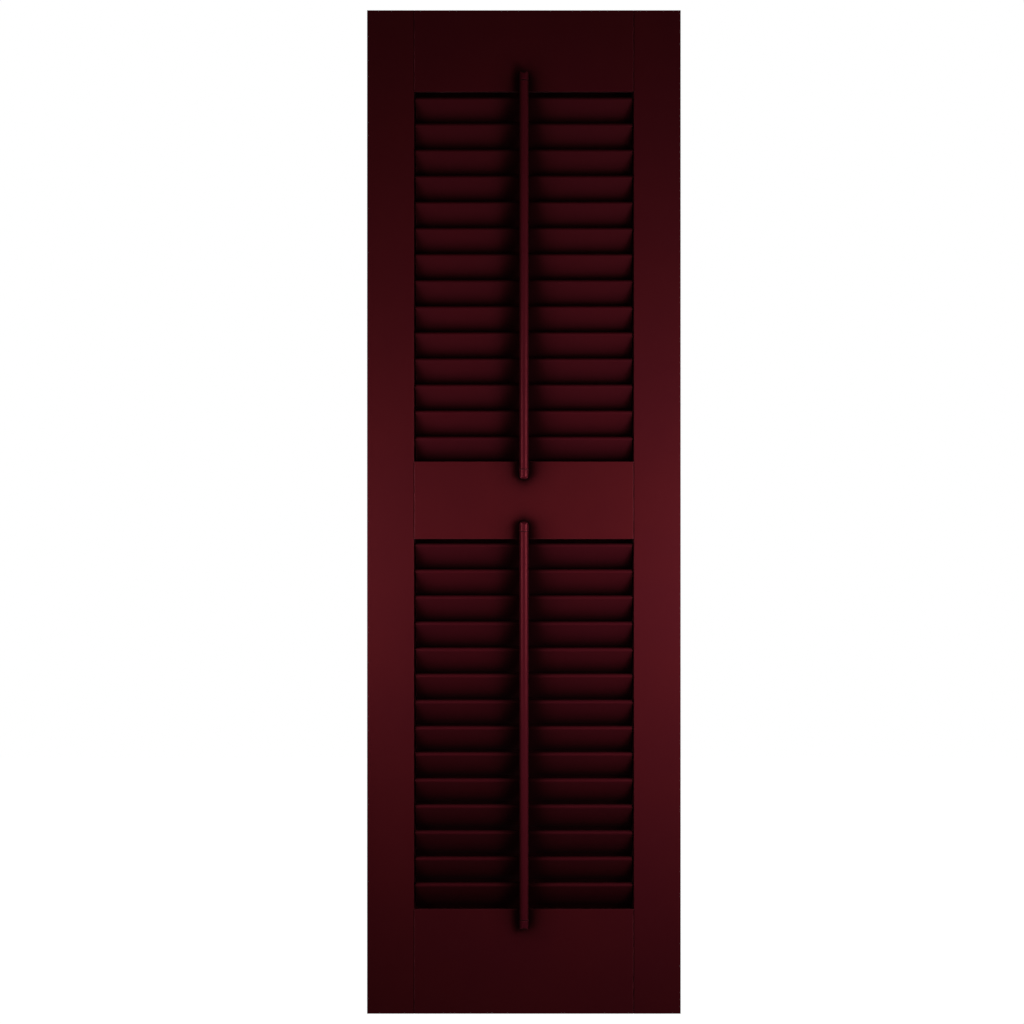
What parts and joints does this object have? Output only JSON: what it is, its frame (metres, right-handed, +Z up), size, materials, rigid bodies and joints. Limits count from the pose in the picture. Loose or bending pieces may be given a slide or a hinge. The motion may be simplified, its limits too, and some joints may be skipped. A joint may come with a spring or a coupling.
{
  "type": "louvered shutter",
  "caption": "Tall narrow louvered exterior shutter: flat stiles and rails around an upper and a lower field of fixed sloping louvers, each with a slim dummy tilt rod.",
  "frame": {"origin": "middle of the back of the shutter, on the back face of the middle rail at half the shutter's width and height", "axes": "+X across the shutter to the right as seen from the front, +Y out of the back towards the wall, +Z up along the stiles; the front faces -Y"},
  "size_m": [0.381, 0.044, 1.2192],
  "materials": {
    "frame_boards": "satin burgundy paint on smooth cellular PVC",
    "louvers": "satin burgundy paint on extruded PVC slats",
    "tilt_rods": "satin burgundy paint on extruded PVC",
    "rod_caps": "satin burgundy, moulded"
  },
  "bodies": {
    "root": {"left_stile": "frame_boards", "right_stile": "frame_boards", "top_rail": "frame_boards", "middle_rail": "frame_boards", "bottom_rail": "frame_boards", "upper_louver_01": "louvers", "upper_louver_02": "louvers", "upper_louver_03": "louvers", "upper_louver_04": "louvers", "upper_louver_05": "louvers", "upper_louver_06": "louvers", "upper_louver_07": "louvers", "upper_louver_08": "louvers", "upper_louver_09": "louvers", "upper_louver_10": "louvers", "upper_louver_11": "louvers", "upper_louver_12": "louvers", "upper_louver_13": "louvers", "upper_louver_14": "louvers", "lower_louver_01": "louvers", "lower_louver_02": "louvers", "lower_louver_03": "louvers", "lower_louver_04": "louvers", "lower_louver_05": "louvers", "lower_louver_06": "louvers", "lower_louver_07": "louvers", "lower_louver_08": "louvers", "lower_louver_09": "louvers", "lower_louver_10": "louvers", "lower_louver_11": "louvers", "lower_louver_12": "louvers", "lower_louver_13": "louvers", "lower_louver_14": "louvers", "upper_tilt_rod": "tilt_rods", "lower_tilt_rod": "tilt_rods", "upper_rod_top_cap": "rod_caps", "upper_rod_bottom_cap": "rod_caps", "lower_rod_top_cap": "rod_caps", "lower_rod_bottom_cap": "rod_caps"}
  },
  "joints": []
}
